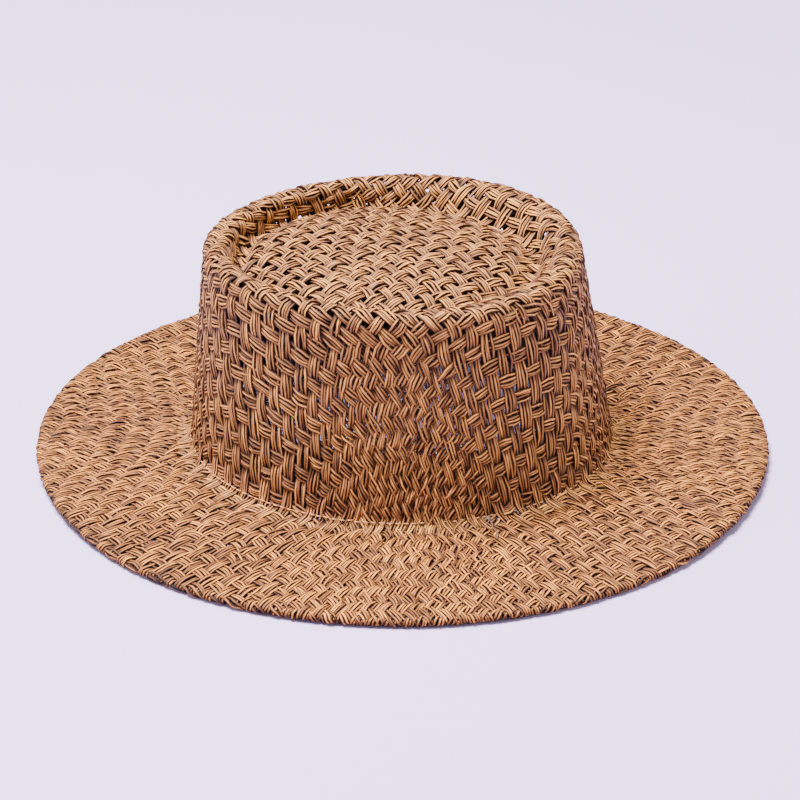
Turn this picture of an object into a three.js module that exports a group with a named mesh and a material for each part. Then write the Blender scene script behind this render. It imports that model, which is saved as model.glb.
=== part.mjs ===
// A woven straw hat with a telescope crown, in millimetres, +Z up.
// The hat rests on its brim: the hem's flat underside is at z = 0 and the origin is the middle of
// the brim. The long way of the hat lies along X.
//
// Crown, brim and sweatband are all swept round the head: a list of plan sections, each an oval at
// its own height, is skinned from one to the next.

import * as THREE from "three";

// Crown sizes, measured on the outside of the cloth.
const CROWN_HEIGHT = 110;
const RIM_LENGTH = 178;
const RIM_WIDTH = 157;
const FOOT_LENGTH = 207;
const FOOT_WIDTH = 174;
const RIM_BEND = 5.5;
const FOOT_BEND = 4;
const FOOT_FLANGE = 8;

// The sunk channel inside the rim, and the low dome that it surrounds.
const CHANNEL_DEPTH = 15;
const CHANNEL_LENGTH = 141;
const CHANNEL_WIDTH = 125;
const CHANNEL_BEND = 5;
const TIP_RISE = 14;

// The dome falls off at a shoulder: how far out it is and how far down, as shares of the channel's
// half width and of the rise, and how wide its curve is.
const SHOULDER_REACH = 0.78;
const SHOULDER_DROP = 0.24;
const SHOULDER_BEND = 24;

// The crown leans to the left, and its right end is blunter than its left one.
const RIM_SHIFT = -4;
const RIM_BLUNTNESS = 0.105;
const CHANNEL_SHIFT = -6.5;
const CHANNEL_BLUNTNESS = -0.06;

// Brim sizes. The cloth runs out from the foot and is turned under at its edge.
const BRIM_LENGTH = 359;
const BRIM_WIDTH = 324;
const BRIM_SLOPE = 1.2;
const BRIM_SIDE_LIFT = 2.3;
const HEM_WIDTH = 14;
const HEM_THICKNESS = 4.4;

// Cloth, and the band sewn inside the foot.
const CLOTH = 2;
const SWEATBAND_HEIGHT = 34;
const SWEATBAND_THICKNESS = 1.2;

// Free space between pieces that touch in the real hat, and the facets round the head.
const CLEARANCE = 0.3;
const FACETS = 60;

const straw = { color: 0xcf9d6c, roughness: 0.85, metalness: 0 };
const blackCloth = { color: 0x1f1b1a, roughness: 0.9, metalness: 0 };

// A section is one oval of the hat seen from above. Its bluntness widens the right end, and its lift
// raises the two sides of the brim.
function section(length, width, z, { bluntness = 0, shift = 0, lift = 0 } = {}) {
  return { halfLength: length / 2, halfWidth: width / 2, z, bluntness, shift, lift };
}

function blend(from, to, share) {
  const mixed = {};
  for (const key of Object.keys(from)) {
    mixed[key] = from[key] + (to[key] - from[key]) * share;
  }
  return mixed;
}

// The same oval, pushed out by so much all round and moved up.
function grown(base, out, up = 0) {
  return {
    ...base,
    halfLength: base.halfLength + out,
    halfWidth: base.halfWidth + out,
    z: base.z + up,
  };
}

function meanRadius(row) {
  return (row.halfLength + row.halfWidth) / 2;
}

function distance(from, to) {
  return Math.hypot(meanRadius(to) - meanRadius(from), to.z - from.z);
}

// Turns a list of corners into rows that run straight between them and round each corner with a bend.
// bend is how far from the corner its curve starts, up to half of the way to the next corner, and
// steps is how many rows the curve has.
function roundedRows(corners) {
  const rows = [corners[0].at];
  for (let i = 1; i < corners.length - 1; i += 1) {
    const { at, bend, steps } = corners[i];
    const before = corners[i - 1].at;
    const after = corners[i + 1].at;
    const start = blend(at, before, Math.min(bend / distance(at, before), 0.5));
    const end = blend(at, after, Math.min(bend / distance(at, after), 0.5));
    for (let step = 0; step <= steps; step += 1) {
      const share = step / steps;
      rows.push(blend(blend(start, at, share), blend(at, end, share), share));
    }
  }
  rows.push(corners[corners.length - 1].at);
  return rows;
}

// Moves every row square to the run of the rows, towards the hollow side of the hat. The last row
// stays square to the brim.
function offsetRows(rows, thickness) {
  return rows.map((row, i) => {
    const before = rows[Math.max(i - 1, 0)];
    const after = rows[Math.min(i + 1, rows.length - 1)];
    const run = distance(before, after);
    const outward = (meanRadius(after) - meanRadius(before)) / run;
    const upward = (after.z - before.z) / run;
    const onAxis = meanRadius(row) === 0;
    return grown(row, onAxis ? 0 : upward * thickness, onAxis ? -thickness : -outward * thickness);
  });
}

function pointOn(row, turn) {
  const across = Math.cos(turn);
  const sideLift = row.lift * Math.max(Math.cos(2 * turn), 0);
  return [
    row.shift + row.halfLength * across,
    row.halfWidth * Math.sin(turn) * (1 + row.bluntness * across),
    row.z + sideLift,
  ];
}

// Skins a list of rows. Rows on the axis are single points. A ring has its last row joined to its
// first one; a shell starts and ends on the axis.
function skinned(rows, closesOnItself) {
  const positions = [];
  const indices = [];
  const firstVertex = [];
  const facetsOf = [];
  for (const row of rows) {
    const count = meanRadius(row) === 0 ? 1 : FACETS;
    firstVertex.push(positions.length / 3);
    facetsOf.push(count);
    for (let k = 0; k < count; k += 1) {
      positions.push(...pointOn(row, (2 * Math.PI * k) / FACETS));
    }
  }
  const bands = closesOnItself ? rows.length : rows.length - 1;
  for (let i = 0; i < bands; i += 1) {
    const j = (i + 1) % rows.length;
    for (let k = 0; k < FACETS; k += 1) {
      const next = (k + 1) % FACETS;
      const a = firstVertex[i] + (k % facetsOf[i]);
      const b = firstVertex[i] + (next % facetsOf[i]);
      const c = firstVertex[j] + (next % facetsOf[j]);
      const d = firstVertex[j] + (k % facetsOf[j]);
      if (facetsOf[i] > 1) {
        indices.push(a, c, b);
      }
      if (facetsOf[j] > 1) {
        indices.push(a, d, c);
      }
    }
  }
  const geometry = new THREE.BufferGeometry();
  geometry.setAttribute("position", new THREE.Float32BufferAttribute(positions, 3));
  geometry.setIndex(indices);
  geometry.computeVertexNormals();
  return geometry;
}

function piece(name, geometry, look) {
  const mesh = new THREE.Mesh(geometry, new THREE.MeshStandardMaterial(look));
  mesh.name = name;
  return mesh;
}

// Sections that more than one piece uses. The brim's upper face rises from the hem to the foot.
const brimTopAtFoot = HEM_THICKNESS + BRIM_SLOPE;
const rimOval = section(RIM_LENGTH, RIM_WIDTH, CROWN_HEIGHT, {
  bluntness: RIM_BLUNTNESS,
  shift: RIM_SHIFT,
});
const footOval = section(FOOT_LENGTH, FOOT_WIDTH, brimTopAtFoot);
const brimEdgeOval = section(BRIM_LENGTH, BRIM_WIDTH, HEM_THICKNESS, { lift: BRIM_SIDE_LIFT });
const seamOval = grown(footOval, FOOT_FLANGE);

// The upper face of the crown, from the middle of the tip to the seam with the brim.
function crownRows() {
  const channelOval = section(CHANNEL_LENGTH, CHANNEL_WIDTH, CROWN_HEIGHT - CHANNEL_DEPTH, {
    bluntness: CHANNEL_BLUNTNESS,
    shift: CHANNEL_SHIFT,
  });
  const tipCentre = { ...channelOval, halfLength: 0, halfWidth: 0, z: channelOval.z + TIP_RISE };
  const shoulder = {
    ...blend(tipCentre, channelOval, SHOULDER_REACH),
    z: tipCentre.z - TIP_RISE * SHOULDER_DROP,
  };
  return roundedRows([
    { at: tipCentre },
    { at: shoulder, bend: SHOULDER_BEND, steps: 5 },
    { at: channelOval, bend: CHANNEL_BEND, steps: 3 },
    { at: grown(rimOval, -2 * RIM_BEND), bend: RIM_BEND, steps: 3 },
    { at: rimOval, bend: RIM_BEND, steps: 3 },
    { at: footOval, bend: FOOT_BEND, steps: 4 },
    { at: seamOval },
  ]);
}

function crown() {
  const upper = crownRows();
  const under = offsetRows(upper, CLOTH);
  return piece("crown", skinned([...upper, ...under.reverse()], false), straw);
}

// The brim is flat cloth with a thicker turned edge. Rows run over the top, round the edge and back
// along the underside.
function brim() {
  const inner = grown(seamOval, CLEARANCE);
  const hemTop = grown(brimEdgeOval, -HEM_WIDTH);
  const hemUnder = grown(hemTop, 0, -HEM_THICKNESS);
  const turnedEdge = roundedRows([
    { at: hemTop },
    { at: brimEdgeOval, bend: HEM_THICKNESS / 2, steps: 2 },
    { at: grown(brimEdgeOval, 0, -HEM_THICKNESS), bend: HEM_THICKNESS / 2, steps: 2 },
    { at: hemUnder },
  ]);
  const middle = blend(inner, hemTop, 0.5);
  const clothUnder = [grown(hemTop, -CLOTH / 2, -CLOTH), grown(middle, 0, -CLOTH), grown(inner, 0, -CLOTH)];
  return piece("brim", skinned([inner, middle, ...turnedEdge, ...clothUnder], true), straw);
}

// A plain band that follows the inside of the wall up from the foot.
function sweatband() {
  const wallFromFoot = (height) => blend(footOval, rimOval, height / (CROWN_HEIGHT - brimTopAtFoot));
  const outerFace = -(CLOTH + CLEARANCE);
  const innerFace = outerFace - SWEATBAND_THICKNESS;
  const bottom = wallFromFoot(0);
  const middle = wallFromFoot(SWEATBAND_HEIGHT / 2);
  const top = wallFromFoot(SWEATBAND_HEIGHT);
  const rows = [
    grown(bottom, outerFace),
    grown(bottom, innerFace),
    grown(middle, innerFace),
    grown(top, innerFace),
    grown(top, outerFace),
    grown(middle, outerFace),
  ];
  return piece("sweatband", skinned(rows, true), blackCloth);
}

const hat = new THREE.Group();
hat.add(crown(), brim(), sweatband());

export default hat;
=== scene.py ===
import math

import bpy
import numpy as np
from mathutils import Matrix, Vector

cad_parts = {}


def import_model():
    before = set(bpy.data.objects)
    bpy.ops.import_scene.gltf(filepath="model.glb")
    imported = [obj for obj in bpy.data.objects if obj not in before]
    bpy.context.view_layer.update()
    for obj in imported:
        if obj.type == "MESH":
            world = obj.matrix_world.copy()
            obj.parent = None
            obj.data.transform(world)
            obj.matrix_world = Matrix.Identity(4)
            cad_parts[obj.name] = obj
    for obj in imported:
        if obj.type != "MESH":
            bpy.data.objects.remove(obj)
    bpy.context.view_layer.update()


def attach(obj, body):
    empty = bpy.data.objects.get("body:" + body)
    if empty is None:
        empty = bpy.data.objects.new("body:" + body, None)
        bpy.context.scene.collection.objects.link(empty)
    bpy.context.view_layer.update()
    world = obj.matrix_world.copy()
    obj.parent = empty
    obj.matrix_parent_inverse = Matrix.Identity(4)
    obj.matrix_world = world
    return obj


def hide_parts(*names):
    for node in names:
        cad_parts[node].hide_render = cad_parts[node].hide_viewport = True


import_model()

rng = np.random.default_rng(7)

# The smallest length or area that is divided by. Rows that are closer than this are one row.
TINY = 1e-6

# Camera

# Angles in radians, places in metres, lens and sensor in millimetres.
CAMERA_ELEVATION = 0.518
CAMERA_AZIMUTH = -0.056
CAMERA_ROLL = -0.0066
CAMERA_DISTANCE = 1.2
CAMERA_TARGET = Vector((-0.0008, 0.0, 0.0230))
CAMERA_LENS = 110.475
CAMERA_SENSOR = 36.0


def make_camera():
    level = math.cos(CAMERA_ELEVATION)
    forward = Vector((
        math.sin(CAMERA_AZIMUTH) * level,
        math.cos(CAMERA_AZIMUTH) * level,
        -math.sin(CAMERA_ELEVATION),
    ))
    right = Vector((math.cos(CAMERA_AZIMUTH), -math.sin(CAMERA_AZIMUTH), 0.0))
    up = right.cross(forward)
    rolled_right = right * math.cos(CAMERA_ROLL) + up * math.sin(CAMERA_ROLL)
    rolled_up = up * math.cos(CAMERA_ROLL) - right * math.sin(CAMERA_ROLL)
    data = bpy.data.cameras.new("camera")
    data.lens = CAMERA_LENS
    data.sensor_width = CAMERA_SENSOR
    camera = bpy.data.objects.new("camera", data)
    bpy.context.scene.collection.objects.link(camera)
    turn = Matrix((rolled_right, rolled_up, -forward)).transposed().to_4x4()
    turn.translation = CAMERA_TARGET - forward * CAMERA_DISTANCE
    camera.matrix_world = turn
    bpy.context.scene.camera = camera


make_camera()

# The cloth's middle surface, in mm

# A row is [half length, half width, z, bluntness, shift, side lift], the same plan sections as the
# solids. The cloth is one sheet: a point of it has disc coordinates (a, b), whose length is the way
# along the profile from the middle of the tip and whose direction is the way round the head.

CLOTH = 2.0
TIP_TOP = 109
TIP_RISE = 14
SHOULDER_REACH = 0.78
SHOULDER_DROP = 0.24
SHOULDER_BEND = 24
SHOULDER_STEPS = 12
CHANNEL_BEND = 5
RIM_BEND = 5.5
FOOT_BEND = 4
FOOT_FLANGE = 8
BEND_STEPS = 8
EDGE_BEND = 1
EDGE_STEPS = 2

# The turned hem: the middle of its lower cloth, how far inside the brim's edge the fold starts, and
# the low ridge where the doubled cloth lifts the upper one.
HEM_WIDTH = 14.0
HEM_UNDER_Z = 1.3
EDGE_INSET = 2.45
RIDGE_RISE = 0.25
RIDGE_LEAD = 2
RIDGE_RUN = 4

# The flat table runs on past the brim's edge, and its rows are TABLE_STEP apart along the cloth.
PAST_EDGE = 80
TABLE_STEP = 0.5


def section(length, width, z, bluntness=0.0, shift=0.0, lift=0.0):
    return np.array([length / 2, width / 2, z, bluntness, shift, lift])


def grown(row, out, up=0.0):
    return row + np.array([out, out, up, 0, 0, 0])


def mean_radius(row):
    return (row[..., 0] + row[..., 1]) / 2


def distance(first, second):
    return np.hypot(mean_radius(second) - mean_radius(first), second[..., 2] - first[..., 2])


def rounded_rows(corners):
    rows = [corners[0][0]]
    for i in range(1, len(corners) - 1):
        at, bend, steps = corners[i]
        before = corners[i - 1][0]
        after = corners[i + 1][0]
        start = at + (before - at) * min(bend / distance(at, before), 0.5)
        end = at + (after - at) * min(bend / distance(at, after), 0.5)
        for share in np.linspace(0, 1, steps + 1):
            rows.append((start + (at - start) * share) * (1 - share) + (at + (end - at) * share) * share)
    rows.append(corners[-1][0])
    rows = np.array(rows)
    apart = np.concatenate([[True], distance(rows[1:], rows[:-1]) > TINY])
    return rows[apart]


def moved_in(rows, depth):
    out = rows.copy()
    before = rows[np.maximum(np.arange(len(rows)) - 1, 0)]
    after = rows[np.minimum(np.arange(len(rows)) + 1, len(rows) - 1)]
    run = distance(before, after)
    outward = (mean_radius(after) - mean_radius(before)) / run
    upward = (after[:, 2] - before[:, 2]) / run
    off_axis = mean_radius(rows) > 0
    out[:, :2] += np.where(off_axis, upward * depth, 0)[:, None]
    out[:, 2] -= np.where(off_axis, outward * depth, depth)
    return out


BRIM_EDGE = section(359, 324, 4.4, lift=2.3)
FOOT = section(207, 174, 5.6)
RIM = section(178, 157, 110, bluntness=0.105, shift=-4)


def upper_rows():
    channel = section(141, 125, 95, bluntness=-0.06, shift=-6.5)
    tip = channel.copy()
    tip[:3] = [0, 0, TIP_TOP]
    shoulder = tip + (channel - tip) * SHOULDER_REACH
    shoulder[2] = TIP_TOP - TIP_RISE * SHOULDER_DROP
    return rounded_rows([
        (tip,),
        (shoulder, SHOULDER_BEND, SHOULDER_STEPS),
        (channel, CHANNEL_BEND, BEND_STEPS),
        (grown(RIM, -2 * RIM_BEND), RIM_BEND, BEND_STEPS),
        (RIM, RIM_BEND, BEND_STEPS),
        (FOOT, FOOT_BEND, BEND_STEPS),
        (BRIM_EDGE, EDGE_BEND, EDGE_STEPS),
        (grown(BRIM_EDGE, PAST_EDGE),),
    ])


def tabled(rows):
    along = np.concatenate([[0], np.cumsum(distance(rows[1:], rows[:-1]))])
    steps = np.arange(0, along[-1], TABLE_STEP)
    return np.stack([np.interp(steps, along, rows[:, k]) for k in range(6)], -1)


flat_table = tabled(moved_in(upper_rows(), CLOTH / 2))
foot_place = TABLE_STEP * np.argmin(distance(flat_table, grown(FOOT, -CLOTH / 2)))
seam_place = foot_place + FOOT_FLANGE
turn_place = TABLE_STEP * np.argmax(mean_radius(flat_table) > mean_radius(BRIM_EDGE) - EDGE_INSET)


def hemmed_table():
    """The same table with the edge turned under: out to the fold, half round it and back below."""
    table = flat_table.copy()
    first = int(turn_place / TABLE_STEP)
    centre = table[first].copy()
    top = centre[2] + RIDGE_RISE
    fold_radius = (top - HEM_UNDER_Z) / 2
    half_round = math.pi * fold_radius
    for i in range(first, len(table)):
        way = (i - first) * TABLE_STEP
        turn = min(way / fold_radius, math.pi)
        back = max(way - half_round, 0)
        table[i] = centre
        table[i, :2] += fold_radius * math.sin(turn) - back
        table[i, 2] = (top + HEM_UNDER_Z) / 2 + fold_radius * math.cos(turn)
    ridge_start = turn_place - HEM_WIDTH - RIDGE_LEAD
    ridge = np.clip((np.arange(first) * TABLE_STEP - ridge_start) / RIDGE_RUN, 0, 1)
    table[:first, 2] += RIDGE_RISE * ridge
    end = turn_place + half_round + HEM_WIDTH
    return table, end


hem_table, cloth_end = hemmed_table()


def cloth_point(disc, table):
    place = np.clip(np.hypot(disc[..., 0], disc[..., 1]) / TABLE_STEP, 0, len(table) - 1.001)
    turn = np.arctan2(disc[..., 1], disc[..., 0])
    low = place.astype(int)
    share = (place - low)[..., None]
    row = table[low] * (1 - share) + table[low + 1] * share
    across = np.cos(turn)
    side_lift = row[..., 5] * np.clip(np.cos(2 * turn), 0, 1)
    return np.stack([
        row[..., 4] + row[..., 0] * across,
        row[..., 1] * np.sin(turn) * (1 + row[..., 3] * across),
        row[..., 2] + side_lift,
    ], -1)


def cloth_slopes(disc, table, step=0.05):
    here = cloth_point(disc, table)
    along_a = (cloth_point(disc + [step, 0], table) - here) / step
    along_b = (cloth_point(disc + [0, step], table) - here) / step
    return here, along_a, along_b


def unit(vectors):
    return vectors / np.maximum(np.linalg.norm(vectors, axis=-1, keepdims=True), 1e-9)


# The weave's crossings

# Two families of bundles cross on a square lattice in the flat cloth. Blocking the cloth over the
# head draws it out down the wall, crowds it round the head most where it lies on the bias, and
# twists it a little.

PITCH = 7.4
GRAIN = math.radians(40.5)
LATTICE = 42
WALL_STRETCH = 0.40
BRIM_STRETCH = 0.17
GRAIN_SPREAD = 0.29
GRAIN_SHARPNESS = 0.06
BRIM_CROWDING = 0.45
BIAS_JITTER = 0.9

# How uneven the lattice is: bundles, single crossings and slow ripples through the cloth.
LINE_JITTER = 0.035
CROSSING_JITTER = 0.025
RIPPLES = 14
RIPPLE_LENGTHS = (25, 90)
RIPPLE_HEIGHT = 0.35

# Where the wall starts along the cloth, how gently wall and brim take over, and how far past the end
# of the cloth the crossings go on.
WALL_START = 90
WALL_EASE = 22
FOOT_EASE = 25
PAST_END = 25

# How far the cloth has slipped round the wall, in degrees: flat direction, slip.
SLIP = [
    (-180, -4), (-139.5, -9.5), (-94.5, 4), (-49.5, 10), (-5, 2),
    (40.5, -6), (85.5, 1), (130.5, 5), (180, -4),
]
SLIP_START = 60
SLIP_RUN = 50

# How much farther it has slipped low on the wall and on the brim, all along the left.
DRAG = [(-180, 8), (-125, 9.5), (-60, 0), (50, 0), (180, 8)]
DRAG_START = 95
DRAG_RUN = 85

# Samples of such a table all the way round, and how often its corners are eased.
TURN_SAMPLES = 721
EASINGS = 400


def smooth(share):
    share = np.clip(share, 0, 1)
    return share * share * (3 - 2 * share)


def wall_share(place):
    return smooth((place - WALL_START) / WALL_EASE) * (1 - brim_share(place))


def brim_share(place):
    return smooth((place - foot_place) / FOOT_EASE)


def eased_turn(table, turn):
    """The table's second column at each direction, in radians, with its corners eased."""
    heading, shift = np.radians(table).T
    fine = np.linspace(-math.pi, math.pi, TURN_SAMPLES)
    eased = np.interp(fine, heading, shift)
    for _ in range(EASINGS):
        eased[:-1] = (np.roll(eased[:-1], 1) + np.roll(eased[:-1], -1)) / 2
    eased[-1] = eased[0]
    turn = (turn + math.pi) % (2 * math.pi) - math.pi
    return np.interp(turn, fine, eased)


def crossings():
    """Disc coordinates of every crossing (i, j), and which crossings are used."""
    count = np.arange(-LATTICE, LATTICE + 1)
    i, j = np.meshgrid(count, count, indexing="ij")
    i = i + rng.normal(0, LINE_JITTER, (len(count), 1)) + rng.normal(0, CROSSING_JITTER, i.shape)
    j = j + rng.normal(0, LINE_JITTER, (1, len(count))) + rng.normal(0, CROSSING_JITTER, j.shape)
    x = PITCH * (i * math.cos(GRAIN) + j * math.sin(GRAIN))
    y = PITCH * (i * math.sin(GRAIN) - j * math.cos(GRAIN))
    for _ in range(RIPPLES):
        heading = rng.uniform(0, 2 * math.pi)
        wave = 2 * math.pi / rng.uniform(*RIPPLE_LENGTHS)
        phase = rng.uniform(0, 2 * math.pi)
        onward = x * math.cos(heading) + y * math.sin(heading)
        ripple = rng.normal(0, RIPPLE_HEIGHT) * np.sin(wave * onward + phase)
        x = x - ripple * math.sin(heading)
        y = y + ripple * math.cos(heading)
    flat_radius = np.hypot(x, y)
    turn = np.arctan2(y, x)
    places = np.arange(0, (len(flat_table) - 2) * TABLE_STEP, TABLE_STEP)
    drawn = 1 + WALL_STRETCH * wall_share(places) + BRIM_STRETCH * brim_share(places)
    flat_places = np.concatenate([[0], np.cumsum(TABLE_STEP / drawn[:-1])])
    place = np.interp(flat_radius, flat_places, places)
    off_grain = turn - GRAIN
    place = place + rng.normal(0, BIAS_JITTER, place.shape) * np.sin(2 * off_grain) ** 2 * wall_share(place)
    crowding = GRAIN_SPREAD * np.sin(4 * off_grain) / 4 + GRAIN_SHARPNESS * np.sin(8 * off_grain) / 8
    spread = (wall_share(place) + BRIM_CROWDING * brim_share(place)) * crowding
    turn = turn + spread + eased_turn(SLIP, turn) * smooth((place - SLIP_START) / SLIP_RUN)
    turn = turn + eased_turn(DRAG, turn) * smooth((place - DRAG_START) / DRAG_RUN)
    row = flat_table[np.clip(place / TABLE_STEP, 0, len(flat_table) - 1).astype(int)]
    half_length, half_width = np.maximum(row[..., 0], TINY), np.maximum(row[..., 1], TINY)
    way = np.arctan2(np.sin(turn) / half_width, np.cos(turn) / half_length)
    return np.stack([place * np.cos(way), place * np.sin(way)], -1), place < cloth_end + PAST_END


net, used = crossings()

# Strands

# Every bundle is four strands of twisted paper cord side by side. A strand is a four-sided tube. Its
# rings stand every STRIDE samples, and every FOLD_STRIDE samples where the cloth folds.

SAMPLES = 12
STRIDE = 4
FOLD_STRIDE = 2
STRANDS = 4
TIP_GAP = 1.28
WALL_GAP = 1.62
BRIM_GAP = 1.56
STRAND_RADIUS = 0.66
WAVE = 0.72
BRIM_WAVE = 0.56

# How much of its room a bundle fills: on the tip, and how much more on wall and brim. Then come the
# least gap between its strands, and by what share they spread at a crossing and close up between two.
TIP_PACKED = 0.90
WALL_PACKED_MORE = 0.04
BRIM_PACKED_MORE = 0.08
LEAST_GAP = 0.95
BULGE = 0.07

# A strand's radius as a share of the gap, and how much more on the wall.
TIP_FULLNESS = 0.46
WALL_FULLNESS_MORE = 0.06

# How uneven the strands are: sideways, in height, in where they cross, and in thickness.
WANDER = 0.35
HEAVE = 0.22
RAGGED = 0.10
UNEVEN = 0.05

# The shape of a bundle over a crossing: a power that flattens its top, the arch across its strands,
# and the height of a strand as a share of its width.
SWING_POWER = 0.75
ARCH = 0.16
FLATNESS = 0.9

# The rise, in mm, that is stored as the full range of the height channel.
RISE_RANGE = 1.2

# The middle and spread of a strand's tint and warmth, and how much each wanders along it.
TINT = (0.5, 0.30)
TINT_ALONG = 0.17
WARMTH = (0.45, 0.30)
WARMTH_ALONG = 0.15

# How much flatter the strands lie in the hem's fold, and how much flatter still in the cloth that
# is turned back. The closer rings go on for FOLD_MARGIN to both sides of the fold.
TURN_CALM = 0.25
BACK_CALM = 0.45
FOLD_MARGIN = 1.0


def along_lines(nodes):
    """Catmull-Rom samples along the first axis, SAMPLES to each step, from the second node on."""
    before, first, second, after = nodes[:-3], nodes[1:-2], nodes[2:-1], nodes[3:]
    parts = []
    for k in range(SAMPLES):
        s = k / SAMPLES
        parts.append(0.5 * (
            2 * first
            + (second - before) * s
            + (2 * before - 5 * first + 4 * second - after) * s ** 2
            + (3 * first - before - 3 * second + after) * s ** 3
        ))
    return np.stack(parts, 1).reshape((-1,) + nodes.shape[1:])


def soft_noise(shape, spread):
    """Random values at the crossings, run smoothly along the strands."""
    return along_lines(rng.normal(0, spread, shape))


def after_turn(reach, start, run):
    """Rises from 0 to 1 over a run that starts so far past the place where the hem turns."""
    return smooth((reach - (turn_place + start)) / run)


def on_disc(way, along_a, along_b):
    """The step in disc coordinates that moves a point of the cloth one millimetre along way."""
    aa, ab, bb = (along_a * along_a).sum(-1), (along_a * along_b).sum(-1), (along_b * along_b).sum(-1)
    to_a, to_b = (along_a * way).sum(-1), (along_b * way).sum(-1)
    area = np.maximum(aa * bb - ab * ab, TINY)
    return np.stack([to_a * bb - to_b * ab, to_b * aa - to_a * ab], -1) / area[..., None]


def family(nodes, used_nodes, parity):
    """The strands of one family of bundles: axis 0 runs along a bundle, axis 1 across bundles."""
    places = along_lines(nodes)
    whole = used_nodes[:-3] & used_nodes[1:-2] & used_nodes[2:-1] & used_nodes[3:]
    whole = np.repeat(whole, SAMPLES, 0)
    reach = np.hypot(places[..., 0], places[..., 1])
    whole &= reach <= cloth_end
    here, along_a, along_b = cloth_slopes(places, hem_table)
    normal = unit(np.cross(along_a, along_b))
    tangent = unit(np.gradient(here, axis=0))
    side = unit(np.cross(normal, tangent))
    sideways = on_disc(side, along_a, along_b)
    flat_here, _, _ = cloth_slopes(places, flat_table)
    step_along = np.gradient(flat_here, axis=0) * SAMPLES
    step_across = np.gradient(flat_here, axis=1)
    cell = np.linalg.norm(np.cross(step_along, step_across), axis=-1)
    length_along = np.linalg.norm(step_along, axis=-1)
    room = cell / np.maximum(length_along, TINY)
    count = np.arange(len(places)) / SAMPLES + 1
    lines = np.arange(places.shape[1])
    plump = 1 + BULGE * np.cos(2 * math.pi * count)[:, None]
    widest = TIP_GAP + (WALL_GAP - TIP_GAP) * wall_share(reach) + (BRIM_GAP - TIP_GAP) * brim_share(reach)
    packed = TIP_PACKED + WALL_PACKED_MORE * wall_share(reach) + BRIM_PACKED_MORE * brim_share(reach)
    gap = np.clip(room / STRANDS * packed, LEAST_GAP, widest) * plump
    radius = np.minimum(STRAND_RADIUS, gap * (TIP_FULLNESS + WALL_FULLNESS_MORE * wall_share(reach)))
    lean = (step_across * unit(step_along)).sum(-1)
    slant = lean / np.maximum(room * length_along, TINY)
    calm = 1 - TURN_CALM * after_turn(reach, -2, 3) - BACK_CALM * after_turn(reach, 2, 2)
    wave = WAVE + (BRIM_WAVE - WAVE) * brim_share(reach)
    turned_back = cloth_end - HEM_WIDTH
    # A mask of painted shade on the underside of the hem's fold.
    under = after_turn(reach, 0.9, 2.4) * (1 - smooth((reach - (turned_back + 1)) / 4))
    sample = np.arange(len(places))[:, None]
    folded = (reach > turn_place - FOLD_MARGIN) & (reach < turned_back + FOLD_MARGIN)
    ringed = (sample % STRIDE == 0) | ((sample % FOLD_STRIDE == 0) & folded)
    return {
        "whole": whole, "reach": reach, "places": places, "tangent": tangent, "sideways": sideways,
        "phase": count[:, None] + lines[None, :], "parity": parity, "slant": slant, "calm": calm,
        "wave": wave, "under": under, "gap": gap, "radius": radius, "ringed": ringed,
        "nodes": nodes.shape[:2], "count": count,
    }


def strand_rings(bundle, k):
    """Ring corners and attributes of strand k in every bundle of the family."""
    nodes = bundle["nodes"]
    wander = soft_noise(nodes, WANDER)
    heave = soft_noise(nodes, HEAVE)
    outermost = (STRANDS - 1) / 2
    place = k - outermost
    across = place * bundle["gap"] + wander * bundle["calm"]
    ragged = soft_noise(nodes, RAGGED)
    swing = np.cos(math.pi * (bundle["phase"] + ragged - across * bundle["slant"])) * bundle["parity"]
    swing = np.sign(swing) * np.abs(swing) ** SWING_POWER
    arch = -ARCH * (place / outermost) ** 2 * swing
    rise = (bundle["wave"] * swing + arch + heave) * bundle["calm"]
    disc = bundle["places"] + bundle["sideways"] * across[..., None]
    here, along_a, along_b = cloth_slopes(disc, hem_table)
    normal = unit(np.cross(along_a, along_b))
    side = unit(np.cross(normal, bundle["tangent"]))
    middle = here + normal * rise[..., None]
    size = bundle["radius"] * (1 + soft_noise(nodes, UNEVEN))
    corners = []
    for high, wide in ((1, 1), (-1, 1), (-1, -1), (1, -1)):
        out = normal * high * FLATNESS + side * wide
        corners.append(middle + out * size[..., None])
    tint = np.clip(rng.normal(*TINT, nodes[1]), 0, 1)[None, :] + soft_noise(nodes, TINT_ALONG)
    warmth = np.clip(rng.normal(*WARMTH, nodes[1]), 0, 1)[None, :] + soft_noise(nodes, WARMTH_ALONG)
    height = np.clip(rise / RISE_RANGE * 0.5 + 0.5, 0, 1)
    return np.stack(corners, 2), tint, warmth, height


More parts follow.
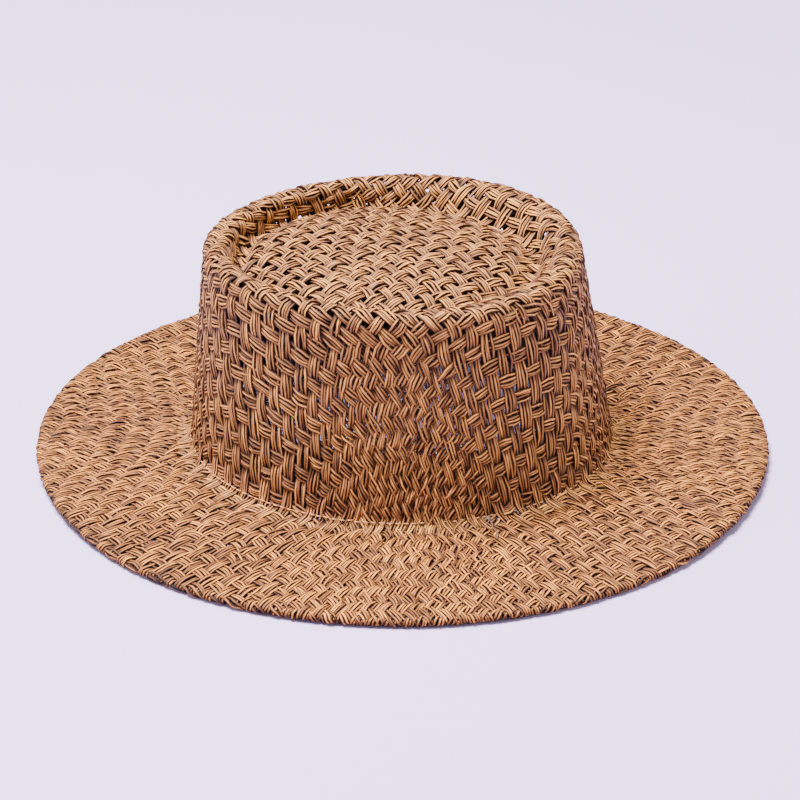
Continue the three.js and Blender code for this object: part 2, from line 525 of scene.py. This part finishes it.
def strand_mesh(name, bundle, keep):
    """One mesh of all the strands of a family where keep says so, in metres."""
    points, colours, faces, uvs = [], [], [], []
    first_vertex = 0
    for k in range(STRANDS):
        rings, tint, warmth, height = strand_rings(bundle, k)
        phase = rng.random(rings.shape[1])
        for line in range(rings.shape[1]):
            kept = np.flatnonzero(keep[:, line])
            if len(kept) < 2:
                continue
            breaks = np.flatnonzero(np.diff(kept) > 1)
            for run in np.split(kept, breaks + 1):
                if len(run) < 2:
                    continue
                stands = bundle["ringed"][run, line].copy()
                stands[[0, -1]] = True
                run = run[stands]
                n = len(run)
                points.append(rings[run, line].reshape(-1, 3))
                under = bundle["under"][run, line]
                # The fourth channel is the mask of painted shade under the hem's fold.
                colour = np.stack([tint[run, line], warmth[run, line], height[run, line], under], -1)
                colours.append(np.repeat(colour, 4, 0))
                ring = first_vertex + 4 * np.arange(n - 1)[:, None]
                corner = np.arange(4)[None, :]
                after = (corner + 1) % 4
                quads = np.stack([ring + corner, ring + after, ring + 4 + after, ring + 4 + corner], -1)
                faces.append(quads.reshape(-1, 4))
                caps = np.array([[3, 2, 1, 0], [4 * n - 4, 4 * n - 3, 4 * n - 2, 4 * n - 1]]) + first_vertex
                faces.append(caps)
                way = bundle["count"][run] * PITCH / 1000 + phase[line]
                u = np.stack([way[:-1], way[:-1], way[1:], way[1:]], -1)[:, None, :]
                v = np.stack([corner[0], corner[0] + 1, corner[0] + 1, corner[0]], -1)[None] / 4 + 0.125
                uvs.append(np.stack(np.broadcast_arrays(u, v), -1).reshape(-1, 2))
                uvs.append(np.zeros((8, 2)))
                first_vertex += 4 * n
    points = np.concatenate(points) / 1000
    return mesh_object(name, points, np.concatenate(faces), np.concatenate(uvs), np.concatenate(colours))


def mesh_object(name, points, faces, uvs=None, colours=None):
    mesh = bpy.data.meshes.new(name)
    width = faces.shape[1]
    mesh.vertices.add(len(points))
    mesh.vertices.foreach_set("co", points.astype(np.float32).ravel())
    mesh.loops.add(faces.size)
    mesh.loops.foreach_set("vertex_index", faces.astype(np.int32).ravel())
    mesh.polygons.add(len(faces))
    mesh.polygons.foreach_set("loop_start", np.arange(0, faces.size, width, dtype=np.int32))
    mesh.polygons.foreach_set("loop_total", np.full(len(faces), width, dtype=np.int32))
    mesh.update(calc_edges=True)
    mesh.polygons.foreach_set("use_smooth", np.ones(len(faces), dtype=bool))
    if uvs is not None:
        layer = mesh.uv_layers.new(name="UVMap")
        layer.data.foreach_set("uv", uvs.astype(np.float32).ravel())
    if colours is not None:
        layer = mesh.color_attributes.new("strand", "FLOAT_COLOR", "POINT")
        layer.data.foreach_set("color", colours.astype(np.float32).ravel())
    mesh.validate()
    obj = bpy.data.objects.new(name, mesh)
    bpy.context.scene.collection.objects.link(obj)
    return obj


# Materials


def material(name):
    made = bpy.data.materials.new(name)
    made.use_nodes = True
    nodes = made.node_tree.nodes
    nodes.clear()
    output = nodes.new("ShaderNodeOutputMaterial")
    shader = nodes.new("ShaderNodeBsdfPrincipled")
    made.node_tree.links.new(shader.outputs["BSDF"], output.inputs["Surface"])
    return made, made.node_tree, shader


def node(tree, kind, values=None, **settings):
    made = tree.nodes.new(kind)
    for key, value in settings.items():
        setattr(made, key, value)
    for key, value in (values or {}).items():
        if isinstance(value, bpy.types.NodeSocket):
            tree.links.new(value, made.inputs[key])
        else:
            made.inputs[key].default_value = value
    return made


def maths(tree, operation, first, second=0.0, third=0.0, clamp=False):
    values = {0: first, 1: second, 2: third}
    return node(tree, "ShaderNodeMath", values, operation=operation, use_clamp=clamp).outputs[0]


def noise(tree, place, scale, detail, **more):
    """The noise value at a place, which is the output of another node."""
    values = {"Vector": place, "Scale": scale, "Detail": detail, **more}
    return node(tree, "ShaderNodeTexNoise", values).outputs[0]


def mixed(tree, share, first, second, blend="MIX"):
    made = node(tree, "ShaderNodeMix", data_type="RGBA", blend_type=blend)
    for index, value in ((0, share), (6, first), (7, second)):
        if isinstance(value, bpy.types.NodeSocket):
            tree.links.new(value, made.inputs[index])
        else:
            made.inputs[index].default_value = value
    return made.outputs[2]


def colour(red, green, blue):
    """A colour given as it is seen, 0 to 255, turned into linear light."""
    linear = []
    for value in (red, green, blue):
        value /= 255
        linear.append(value / 12.92 if value <= 0.04045 else ((value + 0.055) / 1.055) ** 2.4)
    return (*linear, 1.0)


# Painted shade on the straw of the lower half of the hem's fold, which only the floor lights, and how
# strongly.
UNDER_FOLD_SHADE = (0.20, 0.15, 0.07, 1.0)
UNDER_FOLD_SHADE_SHARE = 0.85

# How close the fibres lie along and across a cord, and the angle of its twist in radians, for each
# metre of cord and for once round it.
FIBRE_SCALE = (200.0, 14.0, 1.0)
TWIST_ALONG = 1400.0
TWIST_ROUND = 12.566


def straw_material(name, light, middle, dark, painted_shade, foot_light_correction=(1.0, 1.0, 1.0, 1.0)):
    made, tree, shader = material(name)
    strand = node(tree, "ShaderNodeAttribute", attribute_name="strand")
    parts = node(tree, "ShaderNodeSeparateColor", {0: strand.outputs["Color"]})
    tint, warmth, height = parts.outputs[0], parts.outputs[1], parts.outputs[2]
    uv = node(tree, "ShaderNodeUVMap", uv_map="UVMap")
    fibre_place = node(tree, "ShaderNodeMapping", {"Vector": uv.outputs[0], "Scale": FIBRE_SCALE}).outputs[0]
    fibre = noise(tree, fibre_place, 1.0, 3.0, Roughness=0.6)
    uv_parts = node(tree, "ShaderNodeSeparateXYZ", {0: uv.outputs[0]})
    along, round_it = uv_parts.outputs[0], uv_parts.outputs[1]
    twist_start = maths(tree, "MULTIPLY", round_it, TWIST_ROUND)
    twist_turn = maths(tree, "MULTIPLY_ADD", along, TWIST_ALONG, twist_start)
    twist = maths(tree, "MULTIPLY_ADD", maths(tree, "SINE", twist_turn), 0.5, 0.5)
    blotch = noise(tree, fibre_place, 0.06, 2.0)

    # Light and middle straw by cord and fibre, then dark straw by cord, and painted shade in the twist's
    # grooves.
    cord_share = maths(tree, "MULTIPLY_ADD", tint, 1.0, -0.57)
    light_share = maths(tree, "MULTIPLY_ADD", fibre, 1.2, cord_share, clamp=True)
    base = mixed(tree, light_share, middle, light)
    base = mixed(tree, maths(tree, "MULTIPLY", warmth, 0.56, clamp=True), base, dark)
    groove_shade = maths(tree, "SUBTRACT", 1.0, twist)
    base = mixed(tree, maths(tree, "MULTIPLY", groove_shade, 0.16, clamp=True), base, dark)
    base = mixed(tree, maths(tree, "MULTIPLY_ADD", blotch, 0.5, -0.15, clamp=True), base, middle)

    # Painted shade where a strand dips under a crossing and along its flanks, and under the hem's fold.
    low = maths(tree, "MULTIPLY", maths(tree, "SUBTRACT", 0.66, height), 2.2, clamp=True)
    base = mixed(tree, low, base, painted_shade, "MULTIPLY")
    flank_turn = maths(tree, "MULTIPLY", round_it, 2 * math.pi)
    flank = maths(tree, "ABSOLUTE", maths(tree, "SINE", flank_turn))
    uneven = maths(tree, "MULTIPLY_ADD", fibre, 0.5, -0.25)
    edge = maths(tree, "MULTIPLY_ADD", maths(tree, "ADD", flank, uneven), 2.9, -0.75, clamp=True)
    base = mixed(tree, edge, base, painted_shade, "MULTIPLY")
    under = maths(tree, "MULTIPLY", strand.outputs["Alpha"], UNDER_FOLD_SHADE_SHARE)
    base = mixed(tree, under, base, UNDER_FOLD_SHADE, "MULTIPLY")

    # A painted correction for the yellow light that the brim bounces onto the foot comes in above the flange
    # and fades out up the wall. Level is in metres.
    place = node(tree, "ShaderNodeTexCoord")
    level = node(tree, "ShaderNodeSeparateXYZ", {0: place.outputs["Object"]}).outputs[2]
    above_flange = maths(tree, "MULTIPLY_ADD", level, 400.0, -2.8, clamp=True)
    fading = maths(tree, "MULTIPLY_ADD", level, -40.0, 1.3, clamp=True)
    near_foot = maths(tree, "MULTIPLY", above_flange, fading)
    base = mixed(tree, near_foot, base, foot_light_correction, "MULTIPLY")
    tree.links.new(base, shader.inputs["Base Color"])
    bump_height = maths(tree, "MULTIPLY_ADD", twist, 0.5, fibre)
    bump = node(tree, "ShaderNodeBump", {"Height": bump_height, "Strength": 0.35, "Distance": 0.0003})
    tree.links.new(bump.outputs[0], shader.inputs["Normal"])
    rough = maths(tree, "MULTIPLY_ADD", fibre, 0.2, 0.55, clamp=True)
    tree.links.new(rough, shader.inputs["Roughness"])
    shader.inputs["Specular IOR Level"].default_value = 0.2
    return made


# The fourth colour of each straw is its painted shade.
straws = {
    "crown_straw": straw_material(
        "crown_cord", colour(240, 168, 82), colour(132, 86, 44), colour(72, 40, 20), colour(90, 75, 62),
        foot_light_correction=(1.10, 1.04, 1.5, 1.0),
    ),
    "brim_straw": straw_material(
        "brim_cord", colour(244, 160, 66), colour(116, 70, 28), colour(62, 32, 13), colour(62, 47, 34),
    ),
}

crown_names = {"warp": "crown_bundles_warp", "weft": "crown_bundles_weft"}
brim_names = {"warp": "brim_bundles_warp", "weft": "brim_bundles_weft"}
families = {
    "warp": family(net, used, 1.0),
    "weft": family(net.transpose(1, 0, 2), used.T, -1.0),
}

# Crown and brim share the same strands: those of the crown end one sample past the seam.
for way, bundle in families.items():
    inside = bundle["reach"] < seam_place
    crown_keep = bundle["whole"] & inside
    touching = np.zeros_like(crown_keep)
    touching[1:] |= crown_keep[:-1]
    touching[:-1] |= crown_keep[1:]
    state = rng.bit_generator.state
    crown_piece = strand_mesh(crown_names[way], bundle, bundle["whole"] & (inside | touching))
    rng.bit_generator.state = state
    brim_piece = strand_mesh(brim_names[way], bundle, bundle["whole"] & ~inside)
    halves = ((crown_piece, "crown", "crown_straw"), (brim_piece, "brim", "brim_straw"))
    for piece, carrier, finish in halves:
        piece.data.materials.append(straws[finish])
        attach(piece, "root")
        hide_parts(carrier)

# Sweatband

BAND_HEIGHT = 34.0
BAND_INSET = 0.75
BAND_FACETS = 240
BAND_WAVE = 0.25
BAND_METRES = 0.6
RIB_METRES = 0.0011
THREAD_METRES = 0.0008


def black_cloth_material():
    made, tree, shader = material("black_ribbed_cloth")
    uv = node(tree, "ShaderNodeUVMap", uv_map="UVMap")
    parts = node(tree, "ShaderNodeSeparateXYZ", {0: uv.outputs[0]})
    rib = maths(tree, "SINE", maths(tree, "MULTIPLY", parts.outputs[1], 2 * math.pi / RIB_METRES))
    thread = maths(tree, "SINE", maths(tree, "MULTIPLY", parts.outputs[0], 2 * math.pi / THREAD_METRES))
    cloudy = noise(tree, uv.outputs[0], 60.0, 4.0)
    base = mixed(tree, cloudy, (0.010, 0.009, 0.010, 1), (0.032, 0.028, 0.030, 1))
    tree.links.new(base, shader.inputs["Base Color"])
    weave = maths(tree, "MULTIPLY_ADD", rib, 0.5, maths(tree, "MULTIPLY", thread, 0.3))
    bump = node(tree, "ShaderNodeBump", {"Height": weave, "Strength": 0.4, "Distance": 0.0003})
    tree.links.new(bump.outputs[0], shader.inputs["Normal"])
    rough = maths(tree, "MULTIPLY_ADD", cloudy, 0.2, 0.75, clamp=True)
    tree.links.new(rough, shader.inputs["Roughness"])
    shader.inputs["Sheen Weight"].default_value = 0.15
    shader.inputs["Sheen Roughness"].default_value = 0.4
    return made


def sweatband():
    """The band's section is a thin strip with a folded, thicker upper edge, swept round the wall."""
    top = BAND_HEIGHT
    wall = RIM[2] - FOOT[2]
    strip = [(z, 0.35) for z in np.linspace(0.6, top - 2.2, 9)]
    fold = [(top - 2.0, 0.55), (top - 1.4, 0.75), (top - 0.5, 0.7), (top, 0.35), (top - 0.4, 0.0)]
    outer = [(z, -0.1) for z, _ in reversed(strip)]
    profile = strip + fold + outer
    around = np.linspace(0, 2 * math.pi, BAND_FACETS + 1)[:-1]
    points = []
    for z, depth in profile:
        row = FOOT + (RIM - FOOT) * (z / wall)
        row = grown(row, -(CLOTH + BAND_INSET + depth))
        wave = BAND_WAVE * np.sin(5 * around + z / 9) * (z / top)
        across = np.cos(around)
        points.append(np.stack([
            row[4] + (row[0] + wave) * across,
            (row[1] + wave) * np.sin(around) * (1 + row[3] * across),
            row[2] + BAND_WAVE * np.sin(3 * around),
        ], -1))
    rows, columns = len(profile), len(around)
    i, j = np.meshgrid(np.arange(rows), np.arange(columns), indexing="ij")
    i2, j2 = (i + 1) % rows, (j + 1) % columns
    quads = [i * columns + j, i2 * columns + j, i2 * columns + j2, i * columns + j2]
    faces = np.stack(quads, -1).reshape(-1, 4)
    along = [math.dist(profile[(k + 1) % rows], profile[k]) for k in range(rows)]
    v = np.concatenate([[0], np.cumsum(along)]) / 1000
    u = np.arange(columns + 1) / columns * BAND_METRES
    uvs = np.stack([
        np.stack([u[j], v[i]], -1), np.stack([u[j], v[i + 1]], -1),
        np.stack([u[j + 1], v[i + 1]], -1), np.stack([u[j + 1], v[i]], -1),
    ], 2).reshape(-1, 2)
    band = mesh_object("sweatband_cloth", np.concatenate(points) / 1000, faces, uvs)
    band.data.materials.append(black_cloth_material())
    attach(band, "root")
    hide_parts("sweatband")


sweatband()

# Sewing thread

STITCH = 3.7
STITCH_RADIUS = 0.3
STITCH_HEIGHT = 2.4
STITCH_DIP = 2.3

# The stitches stand proud of the weave only left of the middle of the front: the middle of that
# stretch in degrees, half its width, how gently it ends and how much lower they are elsewhere.
PROUD_MIDDLE = 242
PROUD_HALF = 28
PROUD_EASE = 12
SUNK = 1.6

LOOSE_RADIUS = 0.27


def tube(path, radius, sides=6):
    """Points and quads of a round tube along a path, pinched at its two ends."""
    path = np.asarray(path, float)
    ahead = unit(np.gradient(path, axis=0))
    lean = np.where(np.abs(ahead[:, 2:3]) < 0.9, [[0.0, 0.0, 1.0]], [[1.0, 0.0, 0.0]])
    side = unit(np.cross(ahead, lean))
    up = np.cross(side, ahead)
    taper = np.ones(len(path))
    taper[[0, -1]] = 0.15
    turns = np.arange(sides) / sides * 2 * math.pi
    ring = side[:, None] * np.cos(turns)[None, :, None] + up[:, None] * np.sin(turns)[None, :, None]
    points = path[:, None] + ring * (radius * taper)[:, None, None]
    n = np.arange(len(path) - 1)[:, None] * sides
    k = np.arange(sides)[None, :]
    k2 = (k + 1) % sides
    faces = np.stack([n + k, n + k2, n + sides + k2, n + sides + k], -1).reshape(-1, 4)
    return points.reshape(-1, 3), faces


def thread_material(name, dark, light):
    made, tree, shader = material(name)
    place = node(tree, "ShaderNodeTexCoord")
    shade = noise(tree, place.outputs["Object"], 900.0, 2.0)
    base = mixed(tree, shade, dark, light)
    tree.links.new(base, shader.inputs["Base Color"])
    bump = node(tree, "ShaderNodeBump", {"Height": shade, "Strength": 0.3, "Distance": 0.0002})
    tree.links.new(bump.outputs[0], shader.inputs["Normal"])
    shader.inputs["Roughness"].default_value = 0.6
    return made


def stitch_line():
    turns = np.linspace(0, 2 * math.pi, 2001)
    place = foot_place - 0.3
    line = cloth_point(place * np.stack([np.cos(turns), np.sin(turns)], -1), hem_table)
    along = np.concatenate([[0], np.cumsum(np.linalg.norm(np.diff(line, axis=0), axis=-1))])
    count = int(round(along[-1] / STITCH))
    points, faces, base = [], [], 0
    sunk = SUNK * smooth((np.abs(np.degrees(turns) - PROUD_MIDDLE) - PROUD_HALF) / PROUD_EASE)
    for k in range(count):
        start = (k + 0.1 + rng.normal(0, 0.03)) * along[-1] / count
        end = (k + 0.92 + rng.normal(0, 0.03)) * along[-1] / count
        ways = np.interp(np.linspace(start, end, 6), along, turns)
        shares = np.linspace(0, 1, 6)
        lift = STITCH_HEIGHT - STITCH_DIP * np.abs(2 * shares - 1) ** 3 - np.interp(ways, turns, sunk)
        drift = rng.normal(0, 0.15) + rng.normal(0, 0.2) * (shares - 0.5)
        disc = (place + drift)[:, None] * np.stack([np.cos(ways), np.sin(ways)], -1)
        here, along_a, along_b = cloth_slopes(disc, hem_table)
        normal = unit(np.cross(along_a, along_b))
        path = here + normal * lift[:, None]
        made, quads = tube(path, STITCH_RADIUS)
        points.append(made)
        faces.append(quads + base)
        base += len(made)
    return points, faces


def on_cloth(points):
    """Points given as way out from the foot in mm, direction in degrees and height above the cloth."""
    points = np.array(points, float)
    place, turn, lift = foot_place + points[:, 0], np.radians(points[:, 1]), points[:, 2]
    disc = place[:, None] * np.stack([np.cos(turn), np.sin(turn)], -1)
    here, along_a, along_b = cloth_slopes(disc, hem_table)
    return here + unit(np.cross(along_a, along_b)) * lift[:, None]


def thread_end():
    """The knot at the end of the seam and its two loose ends."""
    tail = [
        (-3, -64.5, 1.6), (-1, -64.6, 2.0), (1, -64.9, 2.6), (3.5, -65.3, 2.8), (7, -65.2, 2.5),
        (11, -65.8, 2.3), (15, -65.5, 2.2), (19, -66.4, 2.1), (21.5, -66.2, 1.9),
    ]
    other = [
        (-2, -65.8, 1.6), (0, -65.7, 2.0), (1.5, -65.3, 2.7), (3, -65.0, 2.9), (5.5, -65.8, 2.5),
        (8, -67.0, 2.3), (10.5, -66.8, 2.0), (12, -67.2, 1.7),
    ]
    turns = np.linspace(0, 4.4 * math.pi, 26)
    knot = np.stack([
        2.4 + 1.0 * np.sin(turns),
        -65.2 + 0.55 * np.cos(turns),
        2.4 + 0.5 * np.sin(turns * 0.7),
    ], -1)
    points, faces, base = [], [], 0
    for path in (along_lines(on_cloth(tail)), along_lines(on_cloth(other)), on_cloth(knot)):
        made, quads = tube(path, LOOSE_RADIUS)
        points.append(made)
        faces.append(quads + base)
        base += len(made)
    return points, faces


def sewing_thread():
    tan = thread_material("sewing_thread", colour(160, 100, 60), colour(214, 150, 100))
    grey = thread_material("loose_thread", colour(58, 44, 36), colour(118, 96, 80))
    threads = (("sewing_thread", stitch_line(), tan), ("thread_end", thread_end(), grey))
    for name, (points, faces), look in threads:
        thread = mesh_object(name, np.concatenate(points) / 1000, np.concatenate(faces))
        thread.data.materials.append(look)
        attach(thread, "root")


sewing_thread()

# Floor and light

FLOOR_REACH = 6.0
FLOOR_DROP = 0.0002


def floor_material():
    made, tree, shader = material("pale_floor")
    place = node(tree, "ShaderNodeTexCoord")
    soft = noise(tree, place.outputs["Object"], 0.8, 1.0)
    base = mixed(tree, soft, (0.500, 0.402, 0.612, 1), (0.508, 0.410, 0.620, 1))
    tree.links.new(base, shader.inputs["Base Color"])
    shader.inputs["Roughness"].default_value = 0.9
    shader.inputs["Specular IOR Level"].default_value = 0.1
    return made


def floor():
    around = [(-1, -1), (1, -1), (1, 1), (-1, 1)]
    corners = np.array([(x * FLOOR_REACH, y * FLOOR_REACH, -FLOOR_DROP) for x, y in around])
    made = mesh_object("floor", corners, np.array([[0, 1, 2, 3]]))
    made.data.materials.append(floor_material())


def area_light(name, place, aim, size, power, tone):
    data = bpy.data.lights.new(name, "AREA")
    data.shape = "DISK"
    data.size = size
    data.energy = power
    data.color = tone
    light = bpy.data.objects.new(name, data)
    light.location = place
    light.rotation_euler = (Vector(aim) - Vector(place)).to_track_quat("-Z", "Y").to_euler()
    bpy.context.scene.collection.objects.link(light)


def world(tone, strength):
    made = bpy.data.worlds.new("world")
    made.use_nodes = True
    background = made.node_tree.nodes["Background"]
    background.inputs["Color"].default_value = (*tone, 1)
    background.inputs["Strength"].default_value = strength
    bpy.context.scene.world = made


floor()
world((0.92, 0.87, 1.0), 0.82)
area_light("key_light", (-0.36, -0.02, 1.7), (0, 0, 0.05), 0.9, 207.0, (0.93, 0.88, 1.0))
area_light("right_fill", (1.2, -0.25, 0.45), (0, 0, 0.06), 0.8, 8.0, (1.0, 0.95, 0.90))
area_light("left_fill", (-1.2, -0.2, 0.45), (0, 0, 0.06), 0.8, 9.0, (1.0, 0.95, 0.90))
